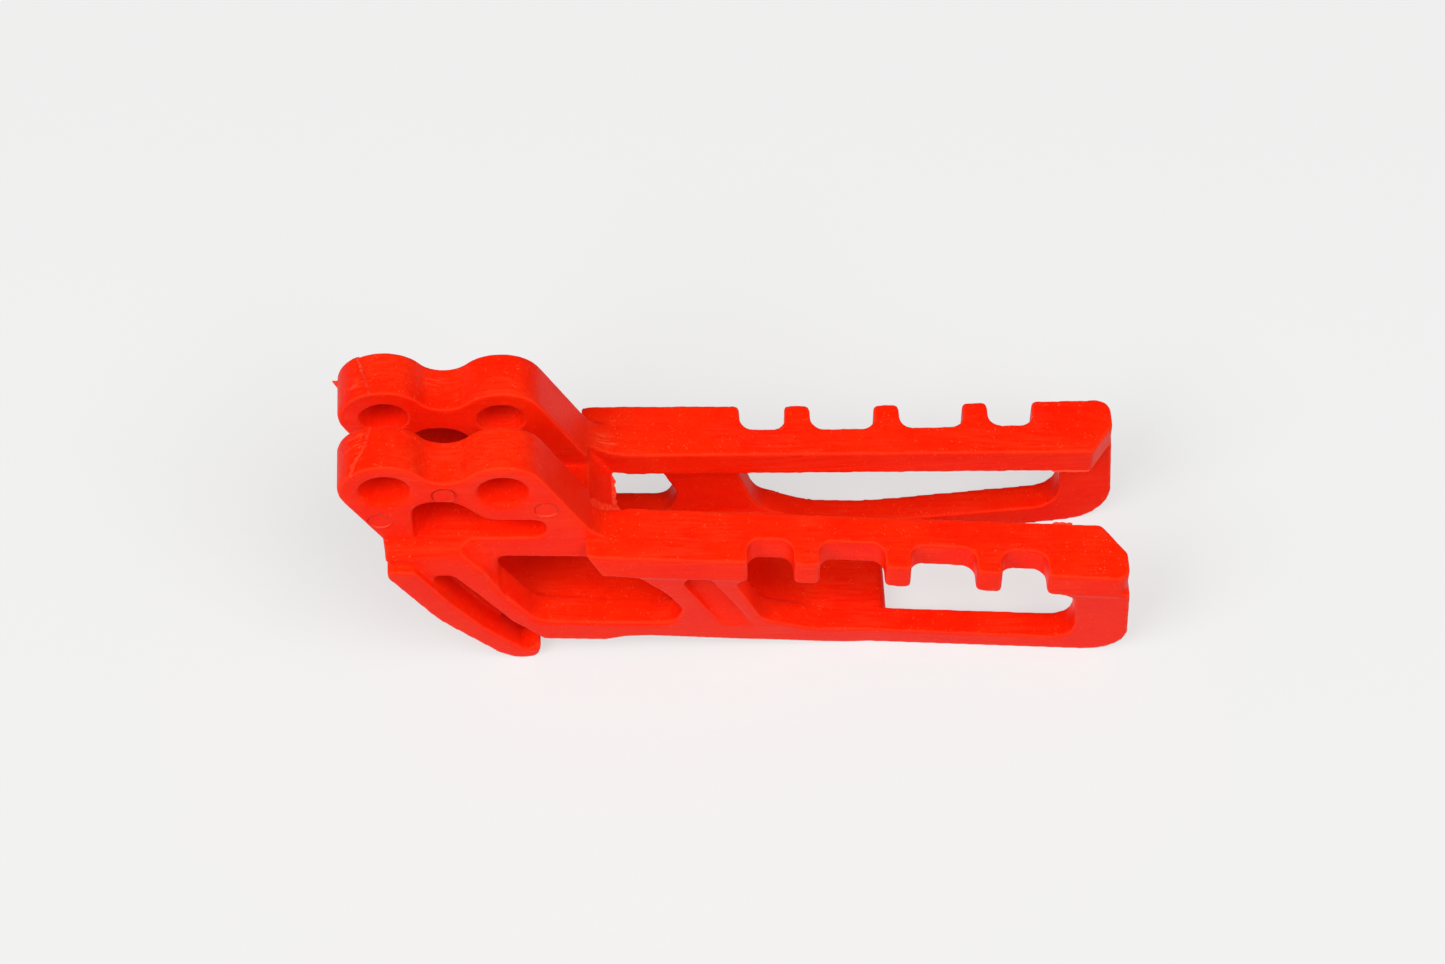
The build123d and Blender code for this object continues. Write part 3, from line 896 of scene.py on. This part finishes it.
@dataclass(frozen=True)
class EdgeFlash:
    """Flash along one edge: its route and sizes in millimetres, and the way it stands."""

    name: str
    route: tuple[Triple, ...]
    lift: Triple
    height: float
    thickness: float
    wander: float
    seed: int

    def strip(self) -> FlashStrip:
        """Turns the edge's flash into a strip in metres.

        Returns:
            The strip, not yet built.
        """
        path = [Vector(place) * MM for place in self.route]
        lifts = [Vector(self.lift)] * len(path)
        sizes = (self.height * MM, self.thickness * MM, self.wander * MM)
        return FlashStrip(self.name, path, lifts, *sizes, self.seed)


DECK_FLASH = EdgeFlash(
    name="deck_flash",
    route=tuple((46.3, station, -28.35) for station in (-6.8, -2.0, 2.5, 6.8)),
    lift=(1.0, 0.0, 0.1),
    height=1.1,
    thickness=0.5,
    wander=0.15,
    seed=21,
)
FAR_RAIL_FLASH = EdgeFlash(
    name="far_rail_flash",
    route=((141.0, 8.98, -37.7), (145.5, 9.1, -38.15), (149.2, 9.2, -38.5)),
    lift=(0.0, -1.0, -0.3),
    height=0.22,
    thickness=0.4,
    wander=0.12,
    seed=41,
)
NEAR_RAIL_FLASH = EdgeFlash(
    name="near_rail_flash",
    route=((139.0, -8.95, -29.95), (141.0, -9.0, -30.1), (143.2, -9.05, -30.35)),
    lift=(0.0, 0.6, 1.0),
    height=0.30,
    thickness=0.4,
    wander=0.10,
    seed=51,
)


@dataclass
class MouldFlash:
    """All the flash that the mould's joints left on the guide; the ridge's sizes are in metres."""

    seams: tuple[BossSeam, ...] = (NEAR_SEAM, FAR_SEAM)
    edges: tuple[EdgeFlash, ...] = (DECK_FLASH, FAR_RAIL_FLASH, NEAR_RAIL_FLASH)
    ridge_legs: int = 10
    ridge_height: float = 1.0 * MM
    ridge_thickness: float = 1.0 * MM
    ridge_wander: float = 0.22 * MM

    def build(self, material: bpy.types.Material) -> list[bpy.types.Object]:
        """Builds the ridges over the front bosses and then the flash along the edges.

        Args:
            material: the flash's plastic.

        Returns:
            The finished pieces.
        """
        strips = [self._boss_ridge(seam) for seam in self.seams]
        strips += [edge.strip() for edge in self.edges]
        return [strip.build(material) for strip in strips]

    def _boss_ridge(self, seam: BossSeam) -> FlashStrip:
        """Lays the ridge that climbs over the front boss of one ear.

        Args:
            seam: the boss's seam.

        Returns:
            The strip, not yet built.
        """
        path, outward = [], []
        for out in np.linspace(EAR_INNER, EAR_OUTER, self.ridge_legs + 1):
            turn = math.radians(float(seam.turn(out)))
            up = Vector((math.cos(turn), 0.0, math.sin(turn)))
            path.append(up * BOSS_RADIUS + Vector((0.0, seam.side.value * out, 0.0)))
            outward.append(up)
        sizes = (self.ridge_height, self.ridge_thickness, self.ridge_wander)
        return FlashStrip(f"boss_flash_{seam.side.name.lower()}", path, outward, *sizes, seam.seed)


@dataclass
class FlashWeb:
    """Torn web of flash that half fills the pocket between the near ear and its rail, in millimetres.

    The taper is the plate's thickness at its root, middle and free edge, as shares of the full one.
    """

    free_edge: tuple[Triple, ...] = ((41.2, -4.0, -20.0), (44.0, -5.0, -20.9), (47.6, -6.6, -21.4))
    root_edge: tuple[Triple, ...] = ((41.2, -8.4, -20.3), (44.0, -8.2, -21.0), (48.4, -7.4, -21.5))
    thickness: float = 0.7
    taper: Triple = (1.0, 0.7, 0.25)
    raggedness: float = 0.22
    edge_swing: Triple = (1.0, 1.0, 0.5)
    legs: int = 18
    seed: int = 61

    def build(self, material: bpy.types.Material) -> bpy.types.Object:
        """Builds the web as a closed thin plate and sets it on the guide.

        Args:
            material: the flash's plastic.

        Returns:
            The finished piece.
        """
        rng = np.random.default_rng(self.seed)
        free, root = self._spread(self.free_edge), self._spread(self.root_edge)
        free += rng.normal(0.0, self.raggedness, free.shape) * self.edge_swing
        middle = (free + root) / 2 + rng.normal(0.0, self.raggedness / 3, free.shape)
        rows = [root, middle, free]
        down = np.array((0.0, 0.0, self.thickness))
        ring = rows + [row - down * share for row, share in zip(rows, self.taper)][::-1]
        vertices = np.stack(ring, axis=1).reshape(-1, 3) * MM
        width = len(ring)
        faces = []
        for leg in range(self.legs):
            near, far = leg * width, (leg + 1) * width
            for side in range(width):
                ahead = (side + 1) % width
                faces.append((near + side, near + ahead, far + ahead, far + side))
        last = self.legs * width
        faces += [tuple(range(width))[::-1], tuple(range(last, last + width))]
        mesh = bpy.data.meshes.new("pocket_flash")
        mesh.from_pydata(vertices.tolist(), [], faces)
        return dressed_flash("pocket_flash", mesh, material)

    def _spread(self, edge: tuple[Triple, ...]) -> np.ndarray:
        """Spaces points evenly along an edge.

        Args:
            edge: the edge's own points.

        Returns:
            One row for each end of a leg.
        """
        stations = np.linspace(0.0, 1.0, self.legs + 1)
        known = np.linspace(0.0, 1.0, len(edge))
        return np.stack([np.interp(stations, known, column) for column in np.array(edge).T], axis=1)


@dataclass
class FlashSpike:
    """The small spike of plastic left at the front of the far ear."""

    base: Vector = field(default_factory=lambda: Vector((-8.9, 12.4, 0.4)) * MM)
    tip: Vector = field(default_factory=lambda: Vector((-10.6, 13.2, 0.9)) * MM)
    radius: float = 1.0 * MM
    tip_radius: float = 0.12 * MM
    sides: int = 12

    def build(self, material: bpy.types.Material) -> bpy.types.Object:
        """Builds the spike and sets it on the guide.

        Args:
            material: the flash's plastic.

        Returns:
            The finished piece.
        """
        axis = self.tip - self.base
        ends = {"radius1": self.radius, "radius2": self.tip_radius, "depth": axis.length}
        shape = bmesh.new()
        bmesh.ops.create_cone(shape, cap_ends=True, segments=self.sides, **ends)
        mesh = bpy.data.meshes.new("ear_spike")
        shape.to_mesh(mesh)
        shape.free()
        turn = axis.to_track_quat("Z", "Y").to_matrix().to_4x4()
        turn.translation = (self.base + self.tip) / 2
        mesh.transform(turn)
        mesh.shade_smooth()
        return dressed_flash("ear_spike", mesh, material)


@dataclass
class StudioCamera:
    """The camera at the photograph's place, looking down on the guide's near side.

    The angles are in radians, the lengths in metres and the sensor's width in millimetres.
    """

    elevation: float = math.radians(57.0)
    yaw: float = 0.047
    distance: float = 844.5 * MM
    target: Triple = (69.58 * MM, 0.0, -22.88 * MM)
    focal_px: float = 4011.0
    sensor: float = 36.0
    clip_start: float = 10.0 * MM

    def build(self) -> bpy.types.Object:
        """Makes the camera and gives it to the scene.

        Returns:
            The camera.
        """
        data = bpy.data.cameras.new("studio_camera")
        data.sensor_width = self.sensor
        data.lens = self.focal_px / IMAGE_WIDTH * self.sensor
        data.clip_start = self.clip_start
        camera = bpy.data.objects.new("studio_camera", data)
        level = math.cos(self.elevation)
        look = Vector((math.sin(self.yaw) * level, math.cos(self.yaw) * level, -math.sin(self.elevation)))
        camera.location = Vector(self.target) - look * self.distance
        camera.rotation_euler = Euler((math.pi / 2 - self.elevation, 0.0, -self.yaw))
        bpy.context.scene.collection.objects.link(camera)
        bpy.context.scene.camera = camera
        return camera


@dataclass(frozen=True)
class SoftLamp:
    """One large studio lamp, with its place and size in metres and its power in watts."""

    name: str
    place: Triple
    size: float
    power: float

    def build(self, aim: Vector) -> bpy.types.Object:
        """Hangs the lamp and turns it to the guide.

        Args:
            aim: the point that it faces.

        Returns:
            The lamp.
        """
        data = bpy.data.lights.new(self.name, "AREA")
        data.shape = "SQUARE"
        data.size = self.size
        data.energy = self.power
        lamp = bpy.data.objects.new(self.name, data)
        lamp.location = self.place
        lamp.rotation_euler = (aim - lamp.location).to_track_quat("-Z", "Y").to_euler()
        bpy.context.scene.collection.objects.link(lamp)
        return lamp


KEY_LAMP = SoftLamp("key_lamp", (-1.35, -1.15, 1.90), 1.6, 56.0)
FILL_LAMP = SoftLamp("fill_lamp", (0.90, -0.90, 2.00), 1.6, 45.0)


@dataclass
class Studio:
    """A plain pale floor, soft lamps and a pale surround."""

    floor_half: float = 3.0
    floor_colour: Colour = (0.63, 0.63, 0.63, 1.0)
    floor_roughness: float = 0.9
    floor_specular: float = 0.1
    glow_colour: Colour = (1.0, 1.0, 0.995, 1.0)
    glow_strength: float = 0.95
    glow_share: float = 0.62
    surround: Colour = (0.93, 0.935, 0.94, 1.0)
    surround_strength: float = 0.12
    lamps: tuple[SoftLamp, ...] = (KEY_LAMP, FILL_LAMP)

    def build(self) -> None:
        """Lays the floor and lights the guide."""
        low, high = cad_box
        self._floor(low.z)
        self._world()
        for lamp in self.lamps:
            lamp.build((low + high) / 2)

    def _floor(self, level: float) -> bpy.types.Object:
        """Lays the floor at the guide's feet.

        Args:
            level: the height of the lowest point of the guide.

        Returns:
            The floor.
        """
        half = self.floor_half
        mesh = bpy.data.meshes.new("studio_floor")
        corners = [(-half, -half, level), (half, -half, level), (half, half, level), (-half, half, level)]
        mesh.from_pydata(corners, [], [(0, 1, 2, 3)])
        material = bpy.data.materials.new("pale_floor")
        material.use_nodes = True
        shader = material.node_tree.nodes["Principled BSDF"]
        shader.inputs["Base Color"].default_value = self.floor_colour
        shader.inputs["Roughness"].default_value = self.floor_roughness
        shader.inputs["Specular IOR Level"].default_value = self.floor_specular
        self._brighten(material.node_tree, shader)
        mesh.materials.append(material)
        return link("studio_floor", mesh)

    def _brighten(self, tree: bpy.types.NodeTree, shader: bpy.types.Node) -> None:
        """Lets the floor look whiter to the camera, in gloss and through glass, with no more light.

        Args:
            tree: the floor material's nodes.
            shader: the floor's own shader.
        """
        nodes = NodeTree(tree)
        path = nodes.add("ShaderNodeLightPath")
        rays = [path.outputs[f"Is {kind} Ray"] for kind in ("Camera", "Glossy", "Transmission")]
        seen = nodes.maths("MAXIMUM", *rays)
        glow = nodes.add("ShaderNodeEmission")
        glow.inputs["Color"].default_value = self.glow_colour
        glow.inputs["Strength"].default_value = self.glow_strength
        blend = nodes.add("ShaderNodeMixShader")
        nodes.feed(blend.inputs[0], nodes.maths("MULTIPLY", seen, self.glow_share))
        nodes.feed(blend.inputs[1], shader.outputs[0])
        nodes.feed(blend.inputs[2], glow.outputs[0])
        nodes.feed(tree.nodes["Material Output"].inputs["Surface"], blend.outputs[0])

    def _world(self) -> None:
        """Sets the pale surround that lights the guide softly from all sides."""
        world = bpy.data.worlds.new("studio_surround")
        bpy.context.scene.world = world
        world.use_nodes = True
        background = world.node_tree.nodes["Background"]
        background.inputs["Color"].default_value = self.surround
        background.inputs["Strength"].default_value = self.surround_strength


def main() -> None:
    """Builds every piece in order and reports it."""
    logging.basicConfig(level=logging.INFO, format="%(name)s: %(message)s")
    bpy.context.scene.view_settings.view_transform = "Standard"
    effects = ShopEffects()
    plastic, flash = GUIDE_RED.build(effects), FLASH_RED.build(effects)
    pieces = [GuideMoulding().build(plastic), *MouldFlash().build(flash)]
    pieces += [FlashWeb().build(flash), FlashSpike().build(flash)]
    for piece in pieces:
        log.info("%s: %d faces", piece.name, len(piece.data.polygons))
    Studio().build()
    StudioCamera().build()


if __name__ == "__main__":
    main()
